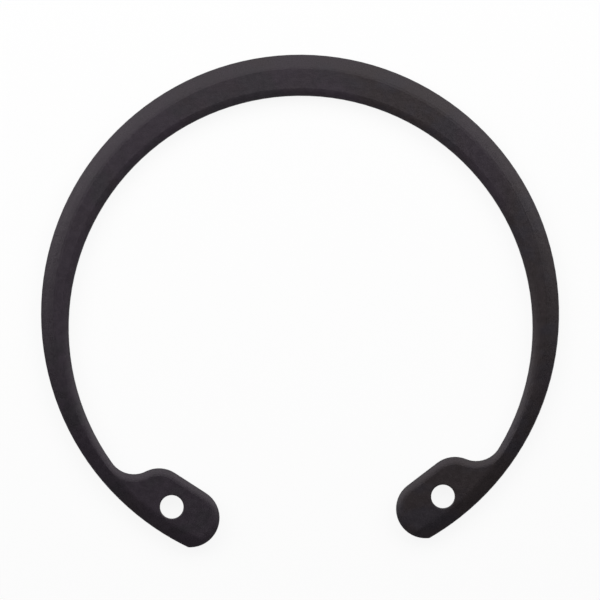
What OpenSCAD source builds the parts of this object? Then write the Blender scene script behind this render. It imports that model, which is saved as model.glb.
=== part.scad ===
// Internal retaining ring with a bevelled rim, lying flat with the bevel up and the gap toward -Y.
// One piece of punched spring steel, drawn in millimetres from the middle of the rim.

/* [Ring] */
// diameter over the rim when nothing squeezes the ring
free_d = 44; // [42:0.5:46]
// width of the flat at the back, opposite the gap, where the ring is widest
back_w = 3.5; // [3.1:0.1:3.9]
// how far the inside circle sits toward the gap, which thins the arms toward the lugs
inside_shift = 1.2; // [0.8:0.1:1.4]
// thickness of the spring steel
thickness = 1.6; // [1.2:0.1:2]

/* [Bevelled rim] */
// width of the sloping band round the upper face
bevel_w = 1.1; // [0.8:0.1:1.4]
// slope of the band, from the flat face
bevel_angle = 15; // [12:1:18]

/* [Lugs] */
// how far a plier hole is from the rim, hole centre to rim
hole_inset = 2.3; // [2.2:0.05:2.4]
// turn from the middle of the gap to a plier hole
hole_angle = 35.8; // [34.4:0.2:37]
// diameter of a plier hole
hole_d = 2; // [1.6:0.1:2.4]
// turn from the middle of the gap to the centre of a lug's rounded tip
tip_angle = 30.5; // [29:0.5:32]
// turn from the middle of the gap to the centre of a lug's rounded shoulder
shoulder_angle = 39.7; // [38.5:0.2:41]
// radius of the tip and of the shoulder
lug_r = 2.5; // [2.4:0.05:2.65]
// radius of the hollow between a shoulder and its arm
hollow_r = 2.25; // [1.8:0.05:2.6]

/* [Edges] */
// width of the rolled edge that the punch leaves on the upper face
roll_w = 0.65; // [0.5:0.05:0.8]
// depth of that rolled edge
roll_h = 0.22; // [0.16:0.02:0.26]
// radius that tumbling leaves on the upper corners of the walls
corner_r = 0.1; // [0.06:0.02:0.14]
// radius that blends the bevel into the flat face
blend_r = 1.4; // [1:0.2:1.8]
// small flat that tumbling leaves along the edges of the lower face
edge_break = 0.1; // [0.05:0.01:0.15]

/* [Hidden] */
$fn = 120;
steel = [0.2, 0.19, 0.2];
// how far a drawn shape runs past the face that trims it
past = 1;
// slope at which the rolled edge leaves the upper face
roll_top_slope = 4;
// angle at which the small arcs cross the faces that they round
arc_slack = 3;
// how much wider the hollow is punched, so that it meets its neighbours cleanly
hollow_overlap = 0.002;

rim_r = free_d / 2;
inside_r = rim_r - back_w + inside_shift;
pitch_r = rim_r - hole_inset;
bevel_h = bevel_w * tan(bevel_angle);

// a point at a reach from the rim's middle and a turn from the middle of the gap
function at(reach, turn) = [reach * sin(turn), -reach * cos(turn)];
// the turn at which one point sees another
function turn_to(from, to) = atan2(to.x - from.x, from.y - to.y);

inside_c = [0, -inside_shift];
tip_c = at(pitch_r, tip_angle);
hole_c = at(pitch_r, hole_angle);
shoulder_c = at(pitch_r, shoulder_angle);
lug_slope = (tip_angle + shoulder_angle) / 2;
lug_length = norm(shoulder_c - tip_c);
arm_end = turn_to(inside_c, hole_c);

// the hollow touches the inside circle from within and the shoulder from outside
hollow_reach = inside_r - hollow_r;
shoulder_reach = norm(shoulder_c - inside_c);
shoulder_to_hollow = lug_r + hollow_r;
reach_squares = pow(shoulder_reach, 2) + pow(hollow_reach, 2) - pow(shoulder_to_hollow, 2);
shoulder_to_hollow_turn = acos(reach_squares / (2 * shoulder_reach * hollow_reach));
hollow_turn = turn_to(inside_c, shoulder_c) + shoulder_to_hollow_turn;
hollow_c = inside_c + at(hollow_reach, hollow_turn);

// in a section, faces and arcs are turned from facing up (0) to facing the wall's side (90)
function ray(turn) = [sin(turn), cos(turn)];
// the middle of an arc that rounds the corner between two straight faces
function arc_c(corner, r, from, to) =
  corner - r * cos(arc_slack) / cos((to - from) / 2) * ray((from + to) / 2);

// the rolled edge is an arc from the upper face down to the wall
roll_chord = norm([roll_w, roll_h]);
roll_r = roll_chord / (2 * sin(atan2(roll_h, roll_w) - roll_top_slope));
roll_c = [-roll_w, thickness] - roll_r * ray(roll_top_slope);

// a smaller arc rounds the corner where it meets the wall
corner_inset = corner_r * cos(arc_slack);
corner_from_roll = roll_r - corner_inset;
corner_turn = asin((-corner_inset - roll_c.x) / corner_from_roll);
corner_c = roll_c + corner_from_roll * ray(corner_turn);

// what an arc trims off a section, between two turns
module past_arc(centre, r, from, to) {
  reach = 2 * (r + past);
  translate(centre) difference() {
    polygon([[0, 0], reach * ray(to), reach * ray(from)]);
    circle(r);
  }
}
module past_corner(corner, r, from, to) {
  past_arc(arc_c(corner, r, from, to), r, from, to);
}

// a punched edge in section, with its wall at x = 0 and the steel on the left
module edge_section(depth, rolled = true) {
  difference() {
    polygon([
      [-depth, -past],
      [-edge_break - past, -past],
      [0, edge_break],
      [0, thickness + past],
      [-depth, thickness + past]
    ]);
    if (rolled) {
      past_arc(roll_c, roll_r, 0, 90);
      past_arc(corner_c, corner_r, corner_turn, 90);
    } else {
      past_corner([0, thickness], corner_r, 0, 90);
    }
  }
}

// steel outside a round opening, and steel inside a round outline
module steel_outside(r, depth, rolled = true) {
  translate([r, 0]) mirror([1, 0]) edge_section(depth, rolled);
}
module steel_inside(r) {
  intersection() {
    translate([r, 0]) edge_section(r + past);
    translate([0, -2 * past]) square([r + past, thickness + 4 * past]);
  }
}

// what a round punch takes away, rolled, rounded and broken edges included
module punched(r, rolled = true) {
  rotate_extrude() difference() {
    translate([0, -past]) square([r + past, thickness + 2 * past]);
    steel_outside(r, 2 * past, rolled);
  }
}

// the blank: a disc with the bevel on its upper edge
module blank() {
  rotate_extrude() difference() {
    polygon([
      [0, 0],
      [rim_r - edge_break, 0],
      [rim_r, edge_break],
      [rim_r, thickness - bevel_h],
      [rim_r - bevel_w, thickness],
      [0, thickness]
    ]);
    past_corner([rim_r - bevel_w, thickness], blend_r, 0, bevel_angle);
    past_corner([rim_r, thickness - bevel_h], corner_r, bevel_angle, 90);
  }
}
module within_blank() {
  intersection() {
    children();
    blank();
  }
}
module both_sides() {
  for (side = [0, 1]) mirror([side, 0, 0]) children();
}

// both arms, from one lug round the back to the other
module arms() {
  translate(inside_c)
    rotate_extrude(start = arm_end - 90, angle = 360 - 2 * arm_end)
      steel_outside(inside_r, back_w + past);
}

// a lug: a rounded tip and a rounded shoulder with straight sides between them
module lug() {
  translate(tip_c) rotate([0, 0, lug_slope]) {
    rotate_extrude() steel_inside(lug_r);
    translate([lug_length, 0, 0]) rotate_extrude() steel_inside(lug_r);
    for (side = [0, 1]) mirror([0, side, 0])
      rotate([90, 0, 90]) linear_extrude(lug_length) steel_inside(lug_r);
  }
}

// the steel between shoulder and arm, before the hollow is punched
module web() {
  translate([0, 0, -past]) linear_extrude(thickness + 2 * past) polygon([
    shoulder_c,
    at(rim_r + past, shoulder_angle),
    inside_c + at(inside_r + back_w, hollow_turn),
    hollow_c
  ]);
}

module retaining_ring() {
  color(steel) difference() {
    union() {
      within_blank() arms();
      both_sides() within_blank() lug();
      both_sides() within_blank() web();
    }
    both_sides() translate(hollow_c) punched(hollow_r + hollow_overlap);
    both_sides() translate(hole_c) punched(hole_d / 2, rolled = false);
  }
}

retaining_ring();
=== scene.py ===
# Retaining ring with a bevelled rim: phosphated spring steel lying on a pale table
from math import cos, radians, sin, tan

import bpy
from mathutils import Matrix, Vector


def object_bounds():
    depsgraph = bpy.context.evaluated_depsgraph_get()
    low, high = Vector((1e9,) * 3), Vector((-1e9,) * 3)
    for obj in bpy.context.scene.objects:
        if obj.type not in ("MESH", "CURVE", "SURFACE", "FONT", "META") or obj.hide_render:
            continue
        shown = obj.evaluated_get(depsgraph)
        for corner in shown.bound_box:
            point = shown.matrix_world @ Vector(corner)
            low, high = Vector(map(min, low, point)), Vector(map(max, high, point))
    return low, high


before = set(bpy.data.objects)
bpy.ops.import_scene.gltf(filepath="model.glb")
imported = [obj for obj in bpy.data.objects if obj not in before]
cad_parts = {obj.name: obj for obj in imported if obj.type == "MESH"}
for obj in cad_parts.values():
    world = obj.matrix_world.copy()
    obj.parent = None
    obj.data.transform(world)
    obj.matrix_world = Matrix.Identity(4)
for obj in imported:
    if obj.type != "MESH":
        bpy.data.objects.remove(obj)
cadLow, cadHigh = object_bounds()
print("frame loaded:", sorted(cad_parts))

mmPerMetre = 1000.0


# small helpers for node trees

nodeRows = {"perRow": 8, "across": 200, "down": 300}
mixSockets = {"FLOAT": (0, 2, 3, 0), "RGBA": (0, 6, 7, 2)}  # share, first, second, result


def addNode(tree, kind, **settings):
    # nodes line up in rows, in the order that they are made
    row, column = divmod(len(tree.nodes), nodeRows["perRow"])
    node = tree.nodes.new(kind)
    node.location = (column * nodeRows["across"], -row * nodeRows["down"])
    for name, value in settings.items():
        setattr(node, name, value)
    return node


def feed(tree, socket, value):
    # a socket takes another node's output or a plain value
    if isinstance(value, bpy.types.NodeSocket):
        tree.links.new(value, socket)
    else:
        socket.default_value = value


def calc(tree, operation, first, second=0.0):
    node = addNode(tree, "ShaderNodeMath", operation=operation)
    feed(tree, node.inputs[0], first)
    feed(tree, node.inputs[1], second)
    return node.outputs[0]


def stretch(tree, vector, factors):
    node = addNode(tree, "ShaderNodeVectorMath", operation="MULTIPLY")
    feed(tree, node.inputs[0], vector)
    feed(tree, node.inputs[1], factors)
    return node.outputs[0]


def scale(tree, vector, factor):
    node = addNode(tree, "ShaderNodeVectorMath", operation="SCALE")
    feed(tree, node.inputs[0], vector)
    feed(tree, node.inputs["Scale"], factor)
    return node.outputs[0]


def lengthOf(tree, vector):
    node = addNode(tree, "ShaderNodeVectorMath", operation="LENGTH")
    feed(tree, node.inputs[0], vector)
    return node.outputs["Value"]


def apart(tree, vector):
    node = addNode(tree, "ShaderNodeSeparateXYZ")
    feed(tree, node.inputs[0], vector)
    return node.outputs


def together(tree, x=0.0, y=0.0, z=0.0):
    node = addNode(tree, "ShaderNodeCombineXYZ")
    for socket, value in zip(node.inputs, (x, y, z)):
        feed(tree, socket, value)
    return node.outputs[0]


def fromAxis(tree, place):
    # distance from the middle of the rim, at any height
    return lengthOf(tree, stretch(tree, place, (1.0, 1.0, 0.0)))


def fade(tree, value, low, high, atLow=0.0, atHigh=1.0):
    # smooth change from one value to another, held level past both ends
    node = addNode(tree, "ShaderNodeMapRange", interpolation_type="SMOOTHSTEP")
    labels = ("Value", "From Min", "From Max", "To Min", "To Max")
    for label, given in zip(labels, (value, low, high, atLow, atHigh)):
        feed(tree, node.inputs[label], given)
    return node.outputs["Result"]


def between(tree, share, atZero, atOne):
    return fade(tree, share, 0.0, 1.0, atZero, atOne)


def mix(tree, share, first, second, kind="FLOAT"):
    node = addNode(tree, "ShaderNodeMix", data_type=kind)
    shareIn, firstIn, secondIn, resultOut = mixSockets[kind]
    feed(tree, node.inputs[shareIn], share)
    feed(tree, node.inputs[firstIn], first)
    feed(tree, node.inputs[secondIn], second)
    return node.outputs[resultOut]


def cloud(tree, place, size, detail=2.0, rough=0.5):
    # noise whose blobs are about one size across, in the units of place
    node = addNode(tree, "ShaderNodeTexNoise")
    feed(tree, node.inputs["Vector"], place)
    feed(tree, node.inputs["Scale"], calc(tree, "DIVIDE", 1.0, size))
    feed(tree, node.inputs["Detail"], detail)
    feed(tree, node.inputs["Roughness"], rough)
    return node.outputs["Fac"]


def contrast(tree, noise, halfWidth, atLow=0.0, atHigh=1.0):
    # a noise stays near a half, so only the values round it are used
    return fade(tree, noise, 0.5 - halfWidth, 0.5 + halfWidth, atLow, atHigh)


def startGroup(name, inputs, outputs):
    # both give each label its kind; a number is a Float socket with that default
    tree = bpy.data.node_groups.new(name, "ShaderNodeTree")
    for label, kind in inputs.items():
        isNumber = isinstance(kind, float)
        socketType = "NodeSocket" + ("Float" if isNumber else kind)
        socket = tree.interface.new_socket(label, in_out="INPUT", socket_type=socketType)
        if isNumber:
            socket.default_value = kind
    for label, kind in outputs.items():
        tree.interface.new_socket(label, in_out="OUTPUT", socket_type="NodeSocket" + kind)
    given = addNode(tree, "NodeGroupInput").outputs
    rightOfRows = (nodeRows["perRow"] * nodeRows["across"], 0)
    made = addNode(tree, "NodeGroupOutput", location=rightOfRows).inputs
    return tree, given, made


def useGroup(tree, group, values):
    node = addNode(tree, "ShaderNodeGroup", node_tree=group)
    for label, value in values.items():
        feed(tree, node.inputs[label], value)
    return node.outputs


def startMaterial(name):
    material = bpy.data.materials.new(name)
    material.use_nodes = True
    material.node_tree.nodes.clear()
    return material, material.node_tree


# effects, each a group with its own sliders; lengths in them are millimetres

def makeOxideTint():
    # slow drift between three near-black tones, as a dipped finish has; Lean turns the +X side browner and
    # darker
    tree, given, made = startGroup(
        "oxideTint",
        {"Place": "Vector", "Patch Size": 6.0, "Lean": 0.01,
         "Mauve": "Color", "Brown": "Color", "Slate": "Color"},
        {"Color": "Color"})
    slateStretch = (1.9, 2.1, 1.7)  # smaller patches, which don't line up with the brown ones
    brownFrom, brownTo = 0.4, 0.72  # of the noise
    slateFrom, slateTo = 0.48, 0.66
    leaning = calc(tree, "MULTIPLY", apart(tree, given["Place"])["X"], given["Lean"])
    brownNoise = cloud(tree, given["Place"], given["Patch Size"], detail=1.5)
    browned = fade(tree, calc(tree, "ADD", brownNoise, leaning), brownFrom, brownTo)
    warm = mix(tree, browned, given["Mauve"], given["Brown"], "RGBA")
    slateNoise = cloud(tree, stretch(tree, given["Place"], slateStretch), given["Patch Size"], detail=3.0)
    slated = fade(tree, slateNoise, slateFrom, slateTo)
    feed(tree, made["Color"], mix(tree, slated, warm, given["Slate"], "RGBA"))
    return tree


def makeCrystalGrain():
    # fine phosphate crystals over softer clumps
    tree, given, made = startGroup(
        "crystalGrain",
        {"Place": "Vector", "Crystal Size": 0.08, "Clump Size": 0.5},
        {"Crystals": "Float", "Clumps": "Float"})
    crystals = cloud(tree, given["Place"], given["Crystal Size"], detail=3.0, rough=0.65)
    clumps = cloud(tree, given["Place"], given["Clump Size"], detail=3.0, rough=0.6)
    for label, noise in (("Crystals", crystals), ("Clumps", clumps)):
        feed(tree, made[label], contrast(tree, noise, halfWidth=0.2))
    return tree


def makePunchedWall():
    # a punched side: drag lines from the tool above, torn steel under a wavy border
    tree, given, made = startGroup(
        "punchedWall",
        {"Place": "Vector", "Torn Below": 0.7, "Wave Size": 0.8, "Line Width": 0.05, "Line Depth": 0.3,
         "Tear Size": 0.14},
        {"Height": "Float", "Torn": "Float"})
    wave = 0.16  # the border wanders this far up and down
    borderFrom, borderTo = -0.06, 0.03  # the change from torn to smooth, from the border up
    lineStretch = (1.0, 1.0, 0.04)  # both run up and down the side, the lines all the way
    tearStretch = (1.0, 1.0, 0.6)
    tearLow, tearHigh = -0.9, 0.5

    waves = cloud(tree, given["Place"], given["Wave Size"], detail=3.0)
    wander = contrast(tree, waves, halfWidth=0.25, atLow=-wave, atHigh=wave)
    border = calc(tree, "ADD", given["Torn Below"], wander)
    aboveBorder = calc(tree, "SUBTRACT", apart(tree, given["Place"])["Z"], border)
    torn = fade(tree, aboveBorder, borderFrom, borderTo, atLow=1.0, atHigh=0.0)
    lines = cloud(tree, stretch(tree, given["Place"], lineStretch), given["Line Width"])
    dragged = calc(tree, "MULTIPLY", lines, given["Line Depth"])
    tears = cloud(tree, stretch(tree, given["Place"], tearStretch), given["Tear Size"], detail=5.0, rough=0.7)
    ragged = contrast(tree, tears, halfWidth=0.2, atLow=tearLow, atHigh=tearHigh)
    feed(tree, made["Height"], mix(tree, torn, dragged, ragged))
    feed(tree, made["Torn"], torn)
    return tree


def makeRubbedEdges():
    # where tumbling polished the coating: every slanted edge, and the sharp corner of the rim
    tree, given, made = startGroup(
        "rubbedEdges",
        {"Place": "Vector", "Facing": "Vector", "Rim Radius": 22.0, "Corner Height": 1.3, "Reach": 0.12,
         "Patch Size": 0.35},
        {"Rubbed": "Float"})
    sideEnds, slantBegins = 0.05, 0.3  # how far up or down the surface faces, from 0 to 1
    slantEnds, faceBegins = 0.84, 0.95
    leastRubbed = 0.35  # of the full wear, between the patches

    level = calc(tree, "ABSOLUTE", apart(tree, given["Facing"])["Z"])
    notFace = fade(tree, level, slantEnds, faceBegins, atLow=1.0, atHigh=0.0)
    slanted = calc(tree, "MULTIPLY", notFace, fade(tree, level, sideEnds, slantBegins))
    inward = calc(tree, "SUBTRACT", given["Rim Radius"], fromAxis(tree, given["Place"]))
    above = calc(tree, "SUBTRACT", apart(tree, given["Place"])["Z"], given["Corner Height"])
    fromCorner = lengthOf(tree, together(tree, inward, above))
    corner = fade(tree, fromCorner, 0.0, given["Reach"], atLow=1.0, atHigh=0.0)
    patches = cloud(tree, given["Place"], given["Patch Size"], detail=4.0, rough=0.6)
    breakUp = contrast(tree, patches, halfWidth=0.15, atLow=leastRubbed)
    feed(tree, made["Rubbed"], calc(tree, "MULTIPLY", calc(tree, "MAXIMUM", slanted, corner), breakUp))
    return tree


def makeRolledLines():
    # faint lines: straight ones from the strip mill on both faces, round ones from turning on the bevel
    tree, given, made = startGroup(
        "rolledLines",
        {"Place": "Vector", "Bevel From": 20.9, "Blend": 0.32, "Soft To": 0.6, "Line Width": 0.09},
        {"Height": "Float", "Bevel": "Float", "Shoulder": "Float"})
    lineStretch = (0.03, 1.0, 1.0)
    softInside = 0.1  # the softened shoulder starts this far inside the bevel
    lowerFace, lowerEdge = 0.02, 0.1  # heights between which the bevel's marks begin

    reach = fromAxis(tree, given["Place"])
    offLowerFace = fade(tree, apart(tree, given["Place"])["Z"], lowerFace, lowerEdge)
    blendFrom = calc(tree, "SUBTRACT", given["Bevel From"], given["Blend"])
    blendTo = calc(tree, "ADD", given["Bevel From"], given["Blend"])
    bevel = calc(tree, "MULTIPLY", fade(tree, reach, blendFrom, blendTo), offLowerFace)
    straight = cloud(tree, stretch(tree, given["Place"], lineStretch), given["Line Width"])
    turned = cloud(tree, together(tree, reach), given["Line Width"])
    feed(tree, made["Height"], mix(tree, bevel, straight, turned))
    feed(tree, made["Bevel"], bevel)
    # a rise that takes off part of the bevel's slope beside the flat
    softFrom = calc(tree, "SUBTRACT", given["Bevel From"], softInside)
    softTo = calc(tree, "ADD", given["Bevel From"], given["Soft To"])
    rise = fade(tree, reach, softFrom, softTo)
    feed(tree, made["Shoulder"], calc(tree, "MULTIPLY", rise, offLowerFace))
    return tree


# the ring's finish

ringFinish = {
    "mauve": (0.0280, 0.0220, 0.0293, 1),  # the three tones drift into each other
    "brown": (0.0252, 0.0202, 0.0213, 1),
    "slate": (0.0240, 0.0210, 0.0255, 1),
    "rubbed": (0.050, 0.049, 0.053, 1),  # where the coating is worn thin
    "patchSize": 6.0,  # mm, as all lengths here
    "lean": 0.01,  # per mm
    "crystalSize": 0.09,
    "crystalTone": (0.92, 1.05),  # the tone times this, between the crystals and on them
    "clumpSize": 0.55,
    "clumpTone": (0.93, 1.06),
    "rimRadius": 22.0,
    "bevelWidth": 1.1,
    "bevelAngle": 15,  # degrees
    "paintedBevelShade": 0.78,  # painted shade: the bevel's colour is darkened all round; the turned bevel is also smoother
    "bevelSmooth": 0.04,
    "shoulder": 0.03,  # height of the softened shoulder between bevel and flat
    "roughness": 0.34,
    "clumpGloss": 0.035,  # added to the roughness or taken off it
    "tornDull": 0.14,
    "wearSilk": 0.1,
    "specular": 0.24,
    "sheenTint": (1.0, 0.92, 0.975, 1),  # the coating's film colours what it mirrors
    "edgeWear": 0.5,  # 0 none, 1 strong
    "relief": 0.006,  # height of the coating's grain; the four below are shares of it
    "crystalHeight": 0.45,
    "clumpHeight": 0.8,
    "lineHeight": 0.5,
    "punchHeight": 4.0,
    "sideFacing": (0.1, 0.5),  # facing up or down this far: all side at the first, none at the second
    "topFacing": (0.5, 0.8),  # facing up this far: no top at the first, all at the second
}


def makeRingFinish(look):
    material, tree = startMaterial("phosphatedSteel")
    coords = addNode(tree, "ShaderNodeTexCoord").outputs
    place = scale(tree, coords["Object"], mmPerMetre)
    bevelDrop = look["bevelWidth"] * tan(radians(look["bevelAngle"]))

    tint = useGroup(tree, makeOxideTint(), {
        "Place": place, "Patch Size": look["patchSize"], "Lean": look["lean"],
        "Mauve": look["mauve"], "Brown": look["brown"], "Slate": look["slate"]})
    grain = useGroup(tree, makeCrystalGrain(), {
        "Place": place, "Crystal Size": look["crystalSize"], "Clump Size": look["clumpSize"]})
    wall = useGroup(tree, makePunchedWall(), {"Place": place})
    lines = useGroup(tree, makeRolledLines(), {
        "Place": place, "Bevel From": look["rimRadius"] - look["bevelWidth"]})
    rubbed = useGroup(tree, makeRubbedEdges(), {
        "Place": place, "Facing": coords["Normal"], "Rim Radius": look["rimRadius"],
        "Corner Height": cadHigh.z * mmPerMetre - bevelDrop})

    facingUp = apart(tree, coords["Normal"])["Z"]
    onWall = fade(tree, calc(tree, "ABSOLUTE", facingUp), *look["sideFacing"], atLow=1.0, atHigh=0.0)
    onBevel = calc(tree, "MULTIPLY", lines["Bevel"], fade(tree, facingUp, *look["topFacing"]))

    # colour: tint, darker between the crystals and the clumps, painted shade on the bevel, paler where rubbed
    crystalTone = between(tree, grain["Crystals"], *look["crystalTone"])
    clumpTone = between(tree, grain["Clumps"], *look["clumpTone"])
    # painted shade: the bevel's colour is darkened by this factor
    paintedBevelTone = between(tree, onBevel, 1.0, look["paintedBevelShade"])
    tone = calc(tree, "MULTIPLY", calc(tree, "MULTIPLY", crystalTone, clumpTone), paintedBevelTone)
    wear = calc(tree, "MULTIPLY", rubbed["Rubbed"], look["edgeWear"])
    colour = mix(tree, wear, scale(tree, tint["Color"], tone), look["rubbed"], "RGBA")

    # gloss: the oiled coating is silkier where rubbed and on the bevel, duller in the torn steel
    smoothest = look["roughness"] - look["clumpGloss"]
    roughest = look["roughness"] + look["clumpGloss"]
    patchy = between(tree, grain["Clumps"], smoothest, roughest)
    dull = calc(tree, "MULTIPLY", calc(tree, "MULTIPLY", wall["Torn"], onWall), look["tornDull"])
    wornSilk = calc(tree, "MULTIPLY", wear, look["wearSilk"])
    bevelSilk = calc(tree, "MULTIPLY", onBevel, look["bevelSmooth"])
    silky = calc(tree, "ADD", wornSilk, bevelSilk)
    gloss = calc(tree, "SUBTRACT", calc(tree, "ADD", patchy, dull), silky)

    # relief: grain everywhere, lines on the faces, punch marks on the sides, and the soft shoulder
    crystals = calc(tree, "MULTIPLY", grain["Crystals"], look["crystalHeight"])
    clumps = calc(tree, "MULTIPLY", grain["Clumps"], look["clumpHeight"])
    faceMarks = calc(tree, "MULTIPLY", lines["Height"], look["lineHeight"])
    punchMarks = calc(tree, "MULTIPLY", wall["Height"], look["punchHeight"])
    shoulder = calc(tree, "MULTIPLY", lines["Shoulder"], look["shoulder"] / look["relief"])
    height = calc(tree, "ADD", crystals, clumps)
    for added in (mix(tree, onWall, faceMarks, punchMarks), shoulder):
        height = calc(tree, "ADD", height, added)
    bump = addNode(tree, "ShaderNodeBump")
    bump.inputs["Strength"].default_value = 1.0
    bump.inputs["Distance"].default_value = look["relief"] / mmPerMetre
    feed(tree, bump.inputs["Height"], height)

    shader = addNode(tree, "ShaderNodeBsdfPrincipled")
    feed(tree, shader.inputs["Base Color"], colour)
    feed(tree, shader.inputs["Roughness"], gloss)
    feed(tree, shader.inputs["Normal"], bump.outputs["Normal"])
    shader.inputs["Specular IOR Level"].default_value = look["specular"]
    shader.inputs["Specular Tint"].default_value = look["sheenTint"]
    output = addNode(tree, "ShaderNodeOutputMaterial")
    feed(tree, output.inputs["Surface"], shader.outputs["BSDF"])
    return material


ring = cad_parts["retaining_ring"]
ring.material_slots[0].material = makeRingFinish(ringFinish)
print("finish: phosphated steel on", ring.name)


# the table, white to the camera but still taking the ring's shadow

tableTop = {
    "colour": (0.9, 0.9, 0.9, 1),
    "whiteShare": 0.9,  # how much of what is seen is plain white
    "size": 6.0,  # m
    "drop": 0.00002,  # m, a hair under the steel
}


def makeTable(look):
    bpy.ops.object.select_all(action="DESELECT")
    bpy.ops.mesh.primitive_plane_add(size=look["size"], location=(0, 0, -look["drop"]))
    table = bpy.context.object
    table.name = "tableTop"
    bpy.ops.object.transform_apply(location=True, rotation=False, scale=False)
    material, tree = startMaterial("paleTable")
    path = addNode(tree, "ShaderNodeLightPath").outputs
    seen = path["Is Camera Ray"]
    for ray in ("Is Glossy Ray", "Is Transmission Ray"):
        seen = calc(tree, "MAXIMUM", seen, path[ray])
    matte = addNode(tree, "ShaderNodeBsdfDiffuse")
    matte.inputs["Color"].default_value = look["colour"]
    white = addNode(tree, "ShaderNodeEmission")
    blend = addNode(tree, "ShaderNodeMixShader")
    feed(tree, blend.inputs[0], calc(tree, "MULTIPLY", seen, look["whiteShare"]))
    feed(tree, blend.inputs[1], matte.outputs["BSDF"])
    feed(tree, blend.inputs[2], white.outputs["Emission"])
    output = addNode(tree, "ShaderNodeOutputMaterial")
    feed(tree, output.inputs["Surface"], blend.outputs["Shader"])
    table.data.materials.append(material)


makeTable(tableTop)
print("table: pale top,", tableTop["size"], "m across")


# one wide softbox beyond the top of the picture, a small fill light on each side, and a dim room

studio = {
    "softboxSize": (0.6, 0.2),  # m, as all lengths here
    "softboxPlace": (-0.01, 0.133, 0.14),
    "softboxTurn": 3.0,  # degrees
    "softboxPower": 0.78,  # W
    "fillSize": (0.2, 0.2),
    "fillPlace": (0.22, 0.08, 0.26),  # the right one; both face the ring
    "fillPower": 0.15,  # W
    "roomColour": (1, 1, 1, 1),
    "roomLevel": 0.13,
}


def addSoftLight(name, place, size, power):
    bpy.ops.object.light_add(type="AREA", location=place)
    light = bpy.context.object
    light.name = name
    light.data.shape = "RECTANGLE"
    light.data.size, light.data.size_y = size
    light.data.energy = power
    light.visible_camera = False
    return light


def makeStudio(look):
    softbox = addSoftLight("softbox", look["softboxPlace"], look["softboxSize"], look["softboxPower"])
    softbox.rotation_euler.z = radians(look["softboxTurn"])
    aside, along, above = look["fillPlace"]
    for name, x in (("leftFill", -aside), ("rightFill", aside)):
        fill = addSoftLight(name, (x, along, above), look["fillSize"], look["fillPower"])
        fill.rotation_euler = Vector((-x, -along, -above)).to_track_quat("-Z", "Y").to_euler()
    world = bpy.data.worlds.new("room")
    bpy.context.scene.world = world
    world.use_nodes = True
    room = world.node_tree.nodes["Background"]
    room.inputs["Color"].default_value = look["roomColour"]
    room.inputs["Strength"].default_value = look["roomLevel"]


makeStudio(studio)
print("light: a softbox, two fills and a dim room")


# straight down through a long lens; the ring lies a little turned in the picture

shot = {
    "lens": 1000.0,  # mm, as all lengths here
    "sensor": 36.0,
    "width": 50.936,  # of the table, across the picture
    "above": 1.161,  # from the rim's middle up to the picture's middle
    "aside": -0.006,  # and to the right
    "turn": 2.21,  # degrees that the ring is turned in the picture
    "clip": (0.01, 10.0),  # m
}


def makeCamera(look):
    turn = radians(-look["turn"])
    away = look["width"] * look["lens"] / look["sensor"]
    across = look["aside"] * cos(turn) - look["above"] * sin(turn)
    along = look["aside"] * sin(turn) + look["above"] * cos(turn)
    place = Vector((across, along, away)) / mmPerMetre
    place.z += cadHigh.z
    bpy.ops.object.camera_add(location=place, rotation=(0, 0, turn))
    camera = bpy.context.object
    camera.name = "shotCamera"
    camera.data.lens = look["lens"]
    camera.data.sensor_width = look["sensor"]
    camera.data.clip_start, camera.data.clip_end = look["clip"]
    bpy.context.scene.camera = camera


makeCamera(shot)
bpy.context.scene.view_settings.view_transform = "Standard"
print("camera: straight down,", shot["width"], "mm across the picture")
